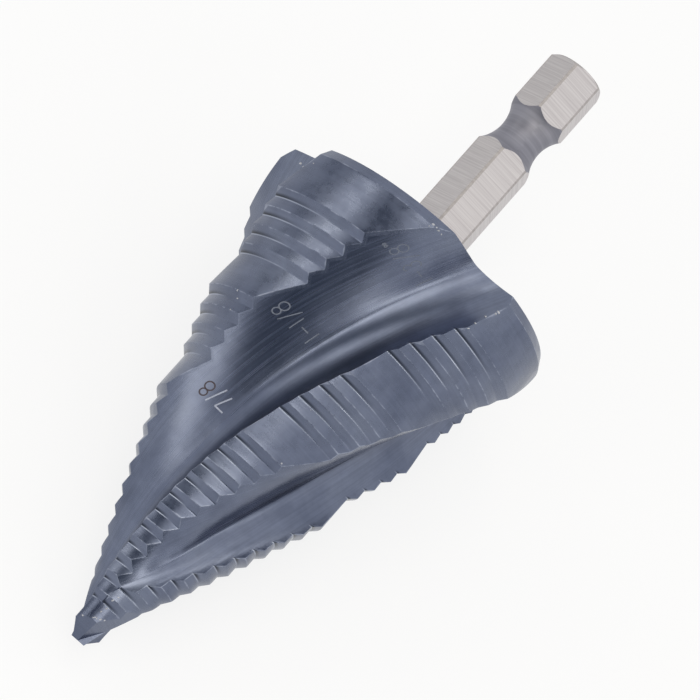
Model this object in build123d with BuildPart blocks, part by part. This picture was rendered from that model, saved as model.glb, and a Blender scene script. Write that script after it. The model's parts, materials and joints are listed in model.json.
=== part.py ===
from build123d import *
import os
from math import atan2, ceil, cos, degrees, exp, radians, sin, sqrt

# Step drill, one piece of high-speed steel, in millimetres.
# The tool is made upright first, with its point at the origin and its shank up +Z.
# At the end it is laid down the way it comes to rest on a table.

# ---- sizes cut by the steps ----
INCH = 25.4
first_size = 3 / 16 * INCH  # diameter of the pilot
size_gain = 1 / 16 * INCH  # each step is this much wider than the one before
size_count = 20  # 3/16 in up to 1-3/8 in
long_treads = (11, 15)  # 7/8 in and 1-1/8 in, the sizes used most, stay level for longer

# ---- lengths along the axis ----
overall_length = 80.0
pilot_length = 4.2  # chisel edge to the first riser
tread_pitch = 2.0
long_tread_pitch = 5.0
last_tread_length = 6.9  # root of the last riser to the back face
riser_length = 0.8  # a riser climbs half the size gain over this length
root_radius = 0.25  # rounding where a riser leaves the tread below it
rim_chamfer_length = 1.15
rim_chamfer_depth = 0.63

# ---- shank, a quarter-inch quick-change hexagon ----
hex_across_flats = 6.35
corners_turned_off = 0.18  # taken off the diameter over the six corners
hex_clocking = 38.3  # degrees from the first cutting edge at the point to a hexagon corner
shank_end_chamfer = 0.4
groove_from_end = 9.5  # middle of the ball groove to the end of the shank
groove_neck_diameter = 5.0
groove_radius = 4.7

# ---- flutes, right-hand ----
# Each measure runs in a straight line from the point to the rim, which is the last step's edge.
# Widths are arcs on an envelope cone that lies close to the edges of the steps.
flute_lead = 212.0  # length of one full turn
through_flutes = 2  # these two reach the point
late_flutes = 2  # these two lie between them and start behind the pilot
core_radius_at_point = 0.73
flute_depth_at_rim = 4.8
envelope_radius_at_point = 2.03
envelope_over_rim = 0.8  # how far the envelope lies outside the last step
flute_width_at_point = 5.0
flute_width_at_rim = 16.1
pilot_flute_width = 3.05  # the through flutes are narrower at the point
pilot_flute_opening = 0.55  # and gain this much width per millimetre
floor_place = 0.37  # share of the width from the cutting face to the deepest line
heel_power = 1.37  # how the floor rises again to the heel of the land before it
cutter_reach = 1.6  # outer limit of a flute's section, in flute depths above its core

# ---- run-in of the late flutes ----
late_start = 7.3
late_floor_radius = 2.47  # their floor starts this high and falls behind the core's growth
late_floor_growth = 0.15
late_least_depth = 0.5
late_narrowing = 28.0  # degrees missing from the width at the start
late_narrowing_length = 4.2  # length over which two thirds of that has come back

# ---- drill point, a split chisel ----
chisel_direction = 140.8  # degrees from the first cutting edge
flank_climb = 43.8  # angle of the flank behind a lip, square to the chisel
heel_facet_climb = 61.0  # angle of the facet that clears the heel
heel_facet_direction = 115.0  # degrees from the first cutting edge

# ---- rest: what touches the table ----
rest_heel_land = 1  # the last step's corner at this land's heel
rest_cutting_land = 2  # and the second long tread's corner at this land's cutting edge
rest_rounds = 20  # tries that close in on the third contact

# ---- outline points of a flute's section, as shares of the face's and of the heel's width ----
face_shares = (1.0, 0.97, 0.87, 0.7, 0.45, 0.2)
heel_shares = (0.0, 0.2, 0.4, 0.6, 0.8, 1.0, 1.2, 1.4)
station_pitch = 3.0  # distance between the sections of a flute

rim_step = size_count - 1
flute_count = through_flutes + late_flutes


def tread_radius(step):
    """Radius of a step, counted from the pilot as step 0."""
    return (first_size + step * size_gain) / 2


def riser_roots():
    """Height of the foot of each riser, from the pilot's to the last step's."""
    heights = []
    height = pilot_length
    for step in range(1, size_count):
        heights.append(height)
        height += long_tread_pitch if step in long_treads else tread_pitch
    return heights


roots = riser_roots()
rim_height = roots[-1] + riser_length
rim_radius = tread_radius(rim_step)
back_face = roots[-1] + last_tread_length
shank_corner_radius = (hex_across_flats / cos(radians(30)) - corners_turned_off) / 2


def polar(radius, angle):
    """Point of a level section from its radius and its angle in degrees."""
    return (radius * cos(radians(angle)), radius * sin(radians(angle)))


def along(at_point, at_rim, height):
    """A measure that runs in a straight line from the point to the rim."""
    return at_point + (at_rim - at_point) * height / rim_height


def flute_frame(height, late):
    """Angle of the cutting face, span in degrees, core radius and depth of a flute at one height."""
    core = along(core_radius_at_point, rim_radius - flute_depth_at_rim, height)
    envelope = along(envelope_radius_at_point, rim_radius + envelope_over_rim, height)
    width = along(flute_width_at_point, flute_width_at_rim, height)
    face = 360 * height / flute_lead
    if late:
        core = max(core, late_floor_radius + late_floor_growth * height)
        envelope = max(envelope, core + late_least_depth)
        narrowing = late_narrowing * exp((late_start - height) / late_narrowing_length)
        face += 360 / flute_count - narrowing
    else:
        width = min(width, pilot_flute_width + pilot_flute_opening * height)
        narrowing = 0
    span = degrees(width / envelope) - narrowing
    return face, span, core, envelope - core


def face_point(frame, share):
    """Point of the cutting face: a quarter ellipse, radial at its edge and level at the floor."""
    face, span, core, depth = frame
    return core + depth * (1 - sqrt(1 - share ** 2)), face - span * floor_place * (1 - share)


def heel_point(frame, share):
    """Point of the heel side, where the floor rises as a power of its share of the width."""
    face, span, core, depth = frame
    return core + depth * share ** heel_power, face - span * (floor_place + (1 - floor_place) * share)


def land_corner(land, edge, step):
    """Top corner of a step on one land, at the land's cutting edge or at its heel."""
    height = roots[step - 1] + riser_length
    radius = tread_radius(step)
    flute = land if edge == "cutting" else land + 1
    turn = 360 / flute_count * (flute - flute % through_flutes)
    frame = flute_frame(height, late=flute % through_flutes == 1)
    face, span, core, depth = frame
    rise = (radius - core) / depth
    if edge == "heel":
        angle = heel_point(frame, rise ** (1 / heel_power))[1]
    else:
        angle = face_point(frame, sqrt(1 - max(0, 1 - rise) ** 2))[1]
    return Vector(*polar(radius, angle + turn), height)


def is_root(corner):
    """Whether a corner of the half section is the foot of a riser."""
    return any(abs(corner.Y - root) < root_radius / 10 for root in roots)


# The turned body: a stair of cylinders and short cones, with a rounded root under each riser.
with BuildPart() as body:
    with BuildSketch(Plane.XZ) as half_section:
        with BuildLine():
            stair = [(0, 0), (tread_radius(0), 0)]
            for step, root in enumerate(roots, start=1):
                stair.append((tread_radius(step - 1), root))
                stair.append((tread_radius(step), root + riser_length))
            stair.append((rim_radius, back_face - rim_chamfer_length))
            stair.append((rim_radius - rim_chamfer_depth, back_face))
            stair.append((0, back_face))
            Polyline(*stair, close=True)
        make_face()
        root_corners = [corner for corner in half_section.vertices() if is_root(corner)]
        fillet(root_corners, root_radius)
    revolve(axis=Axis.Z)


def flute_cutter(late):
    """The space that one flute takes, lofted through level sections from below the point."""
    first = late_start if late else 0.0
    count = ceil((back_face - first) / station_pitch) + 1
    heights = [first - station_pitch / 2] + [first + station_pitch * place for place in range(count)]
    with BuildPart() as cutter:
        for height in heights:
            frame = flute_frame(height, late)
            face, span, core, depth = frame
            outline = [polar(*face_point(frame, share)) for share in face_shares]
            outline += [polar(*heel_point(frame, share)) for share in heel_shares]
            outer = core + depth * cutter_reach
            with BuildSketch(Plane.XY.offset(height)):
                with BuildLine():
                    Line(polar(outer, face), outline[0])
                    Spline(*outline)
                    ThreePointArc(outline[-1], polar(outer, face - span / 2), polar(outer, face))
                make_face()
        loft()
    return cutter.part


def block_under(direction, climb, size):
    """A block whose top face passes through the origin and climbs in the given direction."""
    lean = radians(climb)
    normal = (-sin(lean) * cos(radians(direction)), -sin(lean) * sin(radians(direction)), cos(lean))
    with BuildPart(Plane(origin=(0, 0, 0), z_dir=normal)) as block:
        Box(size, size, size, align=(Align.CENTER, Align.CENTER, Align.MAX))
    return block.part


# The point: each half is cut back to its flank, and beside the chisel to a steeper facet that
# clears the heel. Both stop at the chisel's line, which leaves the upright wall of the split.
with BuildPart() as point_cutter:
    point_room = 8 * tread_radius(0)
    add(block_under(chisel_direction - 90, flank_climb, point_room))
    add(block_under(heel_facet_direction, heel_facet_climb, point_room))
    front_side = polar(1, chisel_direction - 90)
    split(bisect_by=Plane(origin=(0, 0, 0), z_dir=(*front_side, 0)), keep=Keep.TOP)

# The shank: a hexagon with its corners turned down, its end chamfered and a groove for the
# balls of a quick-change chuck.
with BuildPart() as shank:
    with BuildSketch(Plane.XY.offset(back_face)):
        RegularPolygon(hex_across_flats / 2, 6, major_radius=False, rotation=hex_clocking)
    extrude(amount=overall_length - back_face)
    with BuildSketch(Plane.XZ) as turned_section:
        with BuildLine():
            Polyline(
                (0, back_face),
                (shank_corner_radius, back_face),
                (shank_corner_radius, overall_length - shank_end_chamfer),
                (shank_corner_radius - shank_end_chamfer, overall_length),
                (0, overall_length),
                close=True,
            )
        make_face()
    revolve(axis=Axis.Z, mode=Mode.INTERSECT)
    with BuildSketch(Plane.XZ) as groove_section:
        with Locations((groove_neck_diameter / 2 + groove_radius, overall_length - groove_from_end)):
            Circle(groove_radius)
    revolve(axis=Axis.Z, mode=Mode.SUBTRACT)

through_flute = flute_cutter(late=False)
late_flute = flute_cutter(late=True)

with BuildPart() as upright:
    add(body.part)
    with PolarLocations(0, through_flutes):
        add(through_flute, mode=Mode.SUBTRACT)
    with PolarLocations(0, late_flutes):
        add(late_flute, mode=Mode.SUBTRACT)
    with PolarLocations(0, through_flutes):
        add(point_cutter.part, mode=Mode.SUBTRACT)
    add(shank.part)


def table_plane():
    """The table under the upright tool, which rests on two corners and on one step's edge.

    The edge of the first long tread touches where the table runs square to its radius, so its
    angle is found by going back and forth between the touching point and the table's normal.
    """
    first_long, second_long = long_treads
    heel_corner = land_corner(rest_heel_land, "heel", rim_step)
    cutting_corner = land_corner(rest_cutting_land, "cutting", second_long)
    edge_height = roots[first_long - 1] + riser_length
    angle = degrees(atan2(heel_corner.Y + cutting_corner.Y, heel_corner.X + cutting_corner.X))
    for _ in range(rest_rounds):
        touching = Vector(*polar(tread_radius(first_long), angle), edge_height)
        outward = (heel_corner - touching).cross(cutting_corner - touching).normalized()
        if outward.dot(touching) < 0:
            outward = -outward
        angle = degrees(atan2(outward.Y, outward.X))
    shankward = Vector(0, 0, 1) - outward * outward.Z
    return Plane(origin=touching, x_dir=shankward, z_dir=-outward)


# Laid down with the point towards -X, its origin under the middle of its bounding box and level
# with its lowest point.
lying = table_plane().to_local_coords(upright.part)
box = lying.bounding_box()
with BuildPart() as step_drill:
    add(Pos(-box.center().X, -box.center().Y, -box.min.Z) * lying)

step_drill.part.label = "step_drill"
os.makedirs("parts", exist_ok=True)
export_step(step_drill.part, "parts/step_drill.step")
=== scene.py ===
# %% [markdown]
# # A step drill, lying on a table
# A step drill cuts a row of round holes in sheet metal, each step a sixteenth of an inch wider
# than the one before. The real tool is one bar of high-speed steel. It is turned to a stair of
# short cylinders, four spiral flutes are ground into it, its back end is milled to a hexagon,
# and the whole of it is coated, after which the hexagon's flats are ground bright again. The
# lesson follows that order: each surface is worked out with numpy from the same sizes that a
# machinist would use, and then it gets its finish.

# %% Load the frame
import json
from contextlib import contextmanager

import bmesh
import bpy
import numpy as np
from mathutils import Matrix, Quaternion, Vector
from mathutils.bvhtree import BVHTree


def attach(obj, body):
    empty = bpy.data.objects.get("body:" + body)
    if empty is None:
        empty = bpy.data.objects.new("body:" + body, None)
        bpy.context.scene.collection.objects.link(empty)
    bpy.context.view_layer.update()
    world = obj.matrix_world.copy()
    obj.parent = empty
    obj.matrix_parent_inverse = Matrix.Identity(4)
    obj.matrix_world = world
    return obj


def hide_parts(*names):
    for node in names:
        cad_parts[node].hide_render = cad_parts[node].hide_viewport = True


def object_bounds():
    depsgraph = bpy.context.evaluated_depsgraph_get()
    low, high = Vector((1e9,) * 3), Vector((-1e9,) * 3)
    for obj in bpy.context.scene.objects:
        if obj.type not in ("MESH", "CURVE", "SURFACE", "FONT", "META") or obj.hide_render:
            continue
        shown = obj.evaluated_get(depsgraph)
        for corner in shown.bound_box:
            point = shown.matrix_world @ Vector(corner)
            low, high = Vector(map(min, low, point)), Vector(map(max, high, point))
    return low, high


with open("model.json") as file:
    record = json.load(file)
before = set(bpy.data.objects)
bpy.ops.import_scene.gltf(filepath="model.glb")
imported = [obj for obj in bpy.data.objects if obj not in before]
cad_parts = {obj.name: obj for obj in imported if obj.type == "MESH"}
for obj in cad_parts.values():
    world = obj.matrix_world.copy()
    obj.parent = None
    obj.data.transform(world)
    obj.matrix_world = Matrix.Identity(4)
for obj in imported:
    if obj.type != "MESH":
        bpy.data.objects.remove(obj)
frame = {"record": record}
CAD_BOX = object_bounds()
print("the CAD model's box in millimetres:", [[round(x * 1000, 2) for x in corner] for corner in CAD_BOX])

# %% [markdown]
# ## Where the tool lies
# All sizes below are in millimetres, on a tool that stands on its point, because that is how a
# lathe hand reads them: a height along the axis, a radius and an angle. The frame holds the tool
# lying down. Its record names the middle of the shank's end and the way the axis points there,
# so one function can carry any point from the upright tool to its place on the table.

# %% From the upright tool to the table
MM = 0.001
OVERALL_LENGTH = 80.0
UPPERMOST_ANGLE = 48.652  # degrees from the first cutting edge to the side that faces up

shank_mount = next(mount for mount in frame["record"]["mounts"] if mount["name"] == "shank_end")
axis = np.array(shank_mount["axis"]) / np.linalg.norm(shank_mount["axis"])
point = np.array(shank_mount["pos_m"]) / MM - OVERALL_LENGTH * axis
upward = np.array([-axis[2], 0.0, axis[0]])
sideways = np.cross(axis, upward)


def lay_down(radius, angle, height):
    """Points in metres on the table, from radius, angle in degrees and height on the upright tool.

    A place lies its height up the axis and its radius out from it, and the radius is split into
    the upward and the sideways direction by the angle's cosine and sine.
    """
    turn = np.radians(angle - UPPERMOST_ANGLE)
    out = (radius * np.cos(turn))[..., None] * upward + (radius * np.sin(turn))[..., None] * sideways
    return (point + height[..., None] * axis + out) * MM


axis_rise = float(np.degrees(np.arcsin(axis[2])))
print("the point lies at", np.round(point, 2), "mm and the axis rises", round(axis_rise, 1), "degrees")

# %% [markdown]
# ## The stair
# Seen from the side the body is a stair: a level tread for each hole size and a 45 degree riser
# between two treads. No ground corner is perfectly sharp, and the thin bright line that an edge
# shows comes from its tiny rounding. A Bevel modifier would need each edge's own width painted on
# it, so the stair itself has the roundings: a wide one at a riser's root, where the grinding
# wheel's own corner was round, and a very small one at its crest.

# %% Sizes of the stair
INCH = 25.4
FIRST_SIZE = 3 / 16 * INCH
SIZE_GAIN = 1 / 16 * INCH
SIZE_COUNT = 20
LONG_TREADS = (11, 15)  # 7/8 in and 1-1/8 in
PILOT_LENGTH = 4.2
TREAD_PITCH = 2.0
LONG_TREAD_PITCH = 5.0
LAST_TREAD_LENGTH = 6.9
RISER_LENGTH = 0.8
ROOT_ROUNDING = 0.10  # how far a root's rounding reaches from its corner
CREST_ROUNDING = 0.045
RIM_CHAMFER_LENGTH = 1.15
RIM_CHAMFER_DEPTH = 0.63

step_numbers = np.arange(SIZE_COUNT)
tread_radii = (FIRST_SIZE + step_numbers * SIZE_GAIN) / 2
pitches = np.where(np.isin(step_numbers[1:-1], LONG_TREADS), LONG_TREAD_PITCH, TREAD_PITCH)
riser_roots = PILOT_LENGTH + np.concatenate([[0.0], np.cumsum(pitches)])
RIM_HEIGHT = riser_roots[-1] + RISER_LENGTH
RIM_RADIUS = tread_radii[-1]
BACK_FACE = riser_roots[-1] + LAST_TREAD_LENGTH
print("risers start at", np.round(riser_roots, 1), "mm; the back face is at", round(float(BACK_FACE), 1))

# %% [markdown]
# A rounding is a short curve that leaves one straight run and joins the next. Each corner is
# replaced by a quadratic curve whose ends lie on its two runs, all corners at once as one array.

# %% The half section
ROUNDING_POINTS = 5
ROW_SPACING = 0.5  # rows of the surface lie about this close
CLOSE_SPACING = ROW_SPACING / 8
LEAST_SPACING = ROW_SPACING / 12  # an added row keeps this far from the rounded corners' rows
BLANK_BELOW_POINT = 0.4  # the blank starts a little lower than the point that is ground on it
RUN_IN_ZONE = (6.2, 9.4)  # where the late flutes begin, the rows lie at the close spacing
ROOT_BAND = 0.34  # how far up a riser the painted shade reaches, above its root


def rounded_stair():
    """Heights and radii along the half section of the body.

    The corners are joined by straight runs. A corner C with rounding reach g, between unit
    directions a before it and b after it, becomes C - g a (1 - t)^2 + g b t^2 for t from 0 to 1.
    """
    roots = np.stack([riser_roots, tread_radii[:-1]], axis=1)
    crests = np.stack([riser_roots + RISER_LENGTH, tread_radii[1:]], axis=1)
    rim = [[BACK_FACE - RIM_CHAMFER_LENGTH, RIM_RADIUS]]
    corners = np.concatenate([np.stack([roots, crests], axis=1).reshape(-1, 2), rim])
    reach = np.append(np.tile([ROOT_ROUNDING, CREST_ROUNDING], len(roots)), CREST_ROUNDING)
    first = [-BLANK_BELOW_POINT, tread_radii[0]]
    last = [BACK_FACE, RIM_RADIUS - RIM_CHAMFER_DEPTH]
    runs = np.diff(np.vstack([[first], corners, [last]]), axis=0)
    runs /= np.linalg.norm(runs, axis=1)[:, None]
    t = np.linspace(0, 1, ROUNDING_POINTS)[None, :, None]
    arcs = (
        corners[:, None]
        - reach[:, None, None] * runs[:-1, None] * (1 - t) ** 2
        + reach[:, None, None] * runs[1:, None] * t ** 2
    )
    return np.vstack([[first], arcs.reshape(-1, 2), [last]])


def with_extra_rows(section):
    """The section's heights and radii, with rows added on its straight runs where they are sparse."""
    even = np.arange(0, BACK_FACE, ROW_SPACING)
    close = np.arange(*RUN_IN_ZONE, CLOSE_SPACING)
    extra = np.concatenate([even, close, riser_roots + ROOT_BAND, riser_roots - ROOT_BAND])
    nearest = np.abs(extra[:, None] - section[None, :, 0]).min(axis=1)
    heights = np.unique(np.concatenate([section[:, 0], extra[nearest > LEAST_SPACING]]))
    return heights, np.interp(heights, section[:, 0], section[:, 1])


row_heights, row_radii = with_extra_rows(rounded_stair())
print("the body has", len(row_heights), "rows from point to rim")

# %% [markdown]
# ## The flutes
# Two flutes reach the point and two more start behind the pilot. In a level cut each flute is a
# hook: its cutting face is a quarter ellipse, radial at the edge and level at the floor, and
# behind the floor the heel side climbs slowly as a power of its width. A flute's measures run in
# a straight line from the point to the rim, but for the start of the two late ones, so they could
# be lofted from a few sections. One function of height gives them all, at every row.

# %% Sizes of the flutes
FLUTE_COUNT = 4
FLUTE_LEAD = 212.0  # height in which a flute goes once round
CORE_AT_POINT = 0.73  # radius of the metal that the flutes leave
DEPTH_AT_RIM = 4.8
ENVELOPE_AT_POINT = 2.03  # radius at which a flute's cutting face stands straight out
ENVELOPE_OVER_RIM = 0.8
WIDTH_AT_POINT = 5.0
WIDTH_AT_RIM = 16.1
PILOT_FLUTE_WIDTH = 3.05
PILOT_FLUTE_OPENING = 0.55  # how much wider it gets for each millimetre up
FLOOR_PLACE = 0.37  # share of the width from the cutting face to the deepest line
HEEL_POWER = 1.37
LATE_START = 7.3  # height from which a late flute's narrowing is counted
LATE_FIRST_CUT = 5.8  # below this height nothing of a late flute shows
LATE_FLOOR_RADIUS = 2.47
LATE_FLOOR_GROWTH = 0.15
LATE_LEAST_DEPTH = 0.5
LATE_NARROWING = 28.0  # degrees that a late flute lacks at its cutting face where it starts
LATE_NARROWING_LENGTH = 4.2  # height in which that falls to about a third


def along(at_point, at_rim, height):
    """A measure that runs in a straight line from the point to the rim."""
    return at_point + (at_rim - at_point) * height / RIM_HEIGHT


def flute_frame(height, flute):
    """Angle of the cutting face, span, core radius and depth of one flute at each height.

    The face turns once in a lead. The span is the width divided by the envelope's radius. The
    odd flutes are the late ones: their floor starts high, and their width comes in slowly.
    """
    core = along(CORE_AT_POINT, RIM_RADIUS - DEPTH_AT_RIM, height)
    envelope = along(ENVELOPE_AT_POINT, RIM_RADIUS + ENVELOPE_OVER_RIM, height)
    width = along(WIDTH_AT_POINT, WIDTH_AT_RIM, height)
    face = 360 * height / FLUTE_LEAD + flute * 360 / FLUTE_COUNT
    narrowing = np.zeros_like(height)
    if flute % 2 == 1:
        core = np.maximum(core, LATE_FLOOR_RADIUS + LATE_FLOOR_GROWTH * height)
        envelope = np.maximum(envelope, core + LATE_LEAST_DEPTH)
        run_in = np.maximum(height, LATE_FIRST_CUT) - LATE_START
        narrowing = LATE_NARROWING * np.exp(-run_in / LATE_NARROWING_LENGTH)
    else:
        width = np.minimum(width, PILOT_FLUTE_WIDTH + PILOT_FLUTE_OPENING * height)
    span = np.degrees(width / envelope) - narrowing
    return face - narrowing, span, core, envelope - core


def face_curve(cut, turn):
    """Radius and angle on the cutting face: a quarter ellipse, from the floor at 0 to the edge at 1.

    Past the edge of the ellipse the face carries on radially, where a step stands higher.
    """
    face, span, core, depth = cut
    swing = np.minimum(turn, 1) * np.pi / 2
    beyond = np.maximum(turn - 1, 0)
    return core + depth * (1 - np.cos(swing) + beyond), face - span * FLOOR_PLACE * (1 - np.sin(swing))


def heel_curve(cut, share):
    """Radius and angle on the heel side, where the floor rises as a power of its share of the width."""
    face, span, core, depth = cut
    return core + depth * share ** HEEL_POWER, face - span * (FLOOR_PLACE + (1 - FLOOR_PLACE) * share)


def flute_edges(cut, radius):
    """The parameters at which the two curves of a flute reach the surface of the stair.

    The rise is the stair's radius above the floor as a share of the depth. The cutting face gets
    there where 1 - cosine of its swing is the rise, the heel where its power is the rise.
    """
    core, depth = cut[2:]
    rise = np.maximum((radius - core) / depth, 0)
    turn = np.arccos(np.clip(1 - rise, -1, 1)) * 2 / np.pi
    turn = np.where(rise > 1, rise, turn)
    return turn, rise ** (1 / HEEL_POWER)


depth_at_pilot = float(tread_radii[0] - along(CORE_AT_POINT, RIM_RADIUS - DEPTH_AT_RIM, PILOT_LENGTH))
print("a flute is", DEPTH_AT_RIM, "mm deep at the rim and", round(depth_at_pilot, 2), "on the pilot")

# %% [markdown]
# ## The body's surface
# The body is one grid that goes round the axis in columns and up it in rows. The columns follow
# the tool's own edges, not even angles: land, heel side, floor, cutting face, then the next land.
# Four cutters and a boolean could carve the flutes, but they leave thin triangles along the edges.
# Here an edge is always a line of the grid, and it stays crisp through every step. Where a late
# flute hasn't begun, its columns close up to nothing. Each edge is broken by a hair, as a
# coating needs it to be, and that is what catches the light along it.

# %% Columns round the body
LAND_COLUMNS = 18
HEEL_COLUMNS = 20
FACE_COLUMNS = 14
EDGE_COLUMNS = 6
LAND_WAY = np.linspace(0, 1, LAND_COLUMNS)  # shares of a land, from cutting edge to heel
LAND, EDGE, FLUTE = 0, 1, 2  # what a column of the grid lies on
EDGE_BREAK = 0.05  # how far the broken edge reaches on each side


def polar_xy(radius, angle):
    """Level coordinates from radius and angle in degrees, on a last axis of two."""
    turn = np.radians(angle)
    return np.stack([radius * np.cos(turn), radius * np.sin(turn)], axis=-1)


def edge_bend(before, corner, after):
    """A quadratic curve that leaves the corner out: (1-t)^2 before + 2t(1-t) corner + t^2 after."""
    t = np.linspace(0, 1, EDGE_COLUMNS)[None, :, None]
    return (1 - t) ** 2 * before[:, None] + 2 * t * (1 - t) * corner[:, None] + t ** 2 * after[:, None]


def toward(start, end, reach):
    """Points that lie a given reach from start on the straight way to end, or half way if nearer."""
    way = end - start
    length = np.linalg.norm(way, axis=1)[:, None]
    return start + way * np.minimum(reach / np.maximum(length, 1e-9), 0.5)


def body_sections(height, radius):
    """Level sections of the body, one per height, as x and y of each column.

    For each flute the land before it comes first, an arc at the stair's radius from the last
    cutting edge to this flute's heel. Then the heel side runs down to the floor and the cutting
    face up to the next edge. Each curve is sampled evenly in its own parameter.
    """
    columns = []
    for flute in range(1, FLUTE_COUNT + 1):
        before = flute_frame(height, flute - 1)
        cut = flute_frame(height, flute)
        turn_before = flute_edges(before, radius)[0]
        turn, share = flute_edges(cut, radius)
        start = face_curve(before, turn_before)[1]
        end = heel_curve(cut, share)[1]
        land = polar_xy(radius[:, None], start[:, None] + (end - start)[:, None] * LAND_WAY)
        heel_way = share[:, None] * np.linspace(1, 0, HEEL_COLUMNS)[None]
        heel = polar_xy(*heel_curve([part[:, None] for part in cut], heel_way))
        face_way = turn[:, None] * np.linspace(0, 1, FACE_COLUMNS)[None]
        face = polar_xy(*face_curve([part[:, None] for part in cut], face_way))
        heel_corner = heel[:, 0].copy()
        face_corner = face[:, -1].copy()
        land_end = toward(heel_corner, land[:, -2], EDGE_BREAK)
        heel[:, 0] = toward(heel_corner, heel[:, 1], EDGE_BREAK)
        face[:, -1] = toward(face_corner, face[:, -2], EDGE_BREAK)
        next_land = polar_xy(radius, face_curve(cut, turn)[1] + np.degrees(EDGE_BREAK / radius))
        heel_edge = edge_bend(land_end, heel_corner, heel[:, 0])
        face_edge = edge_bend(face[:, -1], face_corner, next_land)
        columns += [land[:, 1:-1], heel_edge, heel[:, 1:], face[:, 1:-1], face_edge]
    return np.concatenate(columns, axis=1)


sections = body_sections(row_heights, row_radii)
column_runs = [LAND_COLUMNS - 2, EDGE_COLUMNS, HEEL_COLUMNS - 1, FACE_COLUMNS - 2, EDGE_COLUMNS]
column_kinds = np.tile(np.repeat([LAND, EDGE, FLUTE, FLUTE, EDGE], column_runs), FLUTE_COUNT)
after_land = np.repeat([1.0, 0.0], [sum(column_runs[1:3]), sum(column_runs[3:])])
land_shares = np.tile(np.append(LAND_WAY[1:-1], after_land), FLUTE_COUNT)
in_flutes = int((column_kinds == FLUTE).sum())
print("each row has", sections.shape[1], "columns, of which", in_flutes, "lie in flutes")

# %% [markdown]
# The rows of points become a skin: each cell of the grid is one four-sided face, the columns
# close up round the axis, and a fan shuts each end. Cells that have closed up to nothing, as in a
# flute that hasn't begun, go when points in one place are joined.

# %% Meshes from a grid
WELD_REACH = 0.002 * MM


def grid_faces(rows, columns):
    """Faces of a grid that closes on itself round its columns, wound so that they point outwards."""
    row, column = np.meshgrid(np.arange(rows - 1), np.arange(columns), indexing="ij")
    following = (column + 1) % columns
    cells = np.stack(
        [
            row * columns + column,
            row * columns + following,
            (row + 1) * columns + following,
            (row + 1) * columns + column,
        ],
        axis=-1,
    )
    return cells.reshape(-1, 4)


def end_fans(rows, columns):
    """Triangles from the first row to one point below it and from the last row to one above."""
    column = np.arange(columns)
    following = (column + 1) % columns
    low = np.full(columns, rows * columns)
    last = (rows - 1) * columns
    bottom = np.stack([following, column, low], axis=1)
    top = np.stack([last + column, last + following, low + 1], axis=1)
    return np.concatenate([bottom, top])


def make_piece(name, points, faces):
    """A mesh object at the origin from points in metres and lists of faces."""
    mesh = bpy.data.meshes.new(name)
    mesh.from_pydata(points, [], faces)
    mesh.validate()
    piece = bpy.data.objects.new(name, mesh)
    bpy.context.scene.collection.objects.link(piece)
    return piece


def closed_skin(name, points, end_points):
    """A piece from a grid of points whose rows go round it, with a fan to a point at each end."""
    rows, columns = points.shape[:2]
    faces = grid_faces(rows, columns).tolist() + end_fans(rows, columns).tolist()
    return make_piece(name, np.vstack([points.reshape(-1, 3), end_points]), faces)


@contextmanager
def open_mesh(piece):
    """The piece's mesh, open for editing while the with block lasts."""
    shell = bmesh.new()
    shell.from_mesh(piece.data)
    yield shell
    shell.to_mesh(piece.data)
    shell.free()


def weld(piece):
    """Joins the points that lie in one place, which drops the cells with no area."""
    with open_mesh(piece) as shell:
        bmesh.ops.remove_doubles(shell, verts=shell.verts, dist=WELD_REACH)
        bmesh.ops.dissolve_degenerate(shell, edges=shell.edges, dist=WELD_REACH)


print("a grid of 3 rows and 8 columns makes", len(grid_faces(3, 8)) + len(end_fans(3, 8)), "faces")

# %% [markdown]
# A real finish follows the way in which each surface was cut. A pattern fixed to the object in
# space can't do that, so the mesh carries measures for the finish to read: how far a place is up
# the axis, along its section and from the nearest root, and whether it lies on a land, an edge,
# a flute, a cutting face or a riser.

# %% Measures of the body
APART = 50.0  # keeps the four flutes' measures apart, so that no two show the same pattern


def body_measures():
    """The body's measures by name, each a number for every row, every column or every point.

    across is the length along the section from the nearest flute's floor, and land_way is the
    share of the way over a land. The number of the flute or land, times APART, is added to each.
    off_root is the height from the nearest root, but no more than ROOT_BAND.
    """
    steps = np.linalg.norm(np.diff(sections, axis=1, prepend=sections[:, :1]), axis=2)
    along_row = np.cumsum(steps, axis=1)
    column = np.arange(sections.shape[1])
    columns_each = len(column) // FLUTE_COUNT
    flute_number = column // columns_each
    floor_column = flute_number * columns_each + sum(column_runs[:3]) - 1
    on_face = column > floor_column
    crests = np.append(riser_roots + RISER_LENGTH, [BACK_FACE - RIM_CHAMFER_LENGTH, BACK_FACE])
    on_crest = np.abs(row_heights[:, None] - crests).min(axis=1) < CREST_ROUNDING
    from_root = row_heights[:, None] - riser_roots
    nearest = from_root[np.arange(len(row_heights)), np.abs(from_root).argmin(axis=1)][:, None]
    return {
        "height": row_heights[:, None],
        "across": along_row - along_row[:, floor_column] + flute_number * APART,
        "land_way": land_shares + (flute_number + on_face) * APART,
        "land_share": land_shares,
        "in_flute": column_kinds == FLUTE,
        "on_face": on_face,
        "on_edge": (column_kinds == EDGE) | (on_crest[:, None] & (column_kinds == LAND)),
        "on_riser": (nearest > 0) & (nearest < RISER_LENGTH),
        "off_root": np.clip(np.abs(nearest), 0, ROOT_BAND),
    }


measures = body_measures()
print("the body's measures are", ", ".join(measures))

# %% [markdown]
# The body is laid down whole, with its measures, and its lower end is still a flat blank.

# %% Skin the body


def lay_down_xy(xy, height):
    """Points on the table from level coordinates and heights on the upright tool."""
    radius = np.linalg.norm(xy, axis=-1)
    angle = np.degrees(np.arctan2(xy[..., 1], xy[..., 0]))
    return lay_down(radius, angle, height)


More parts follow.
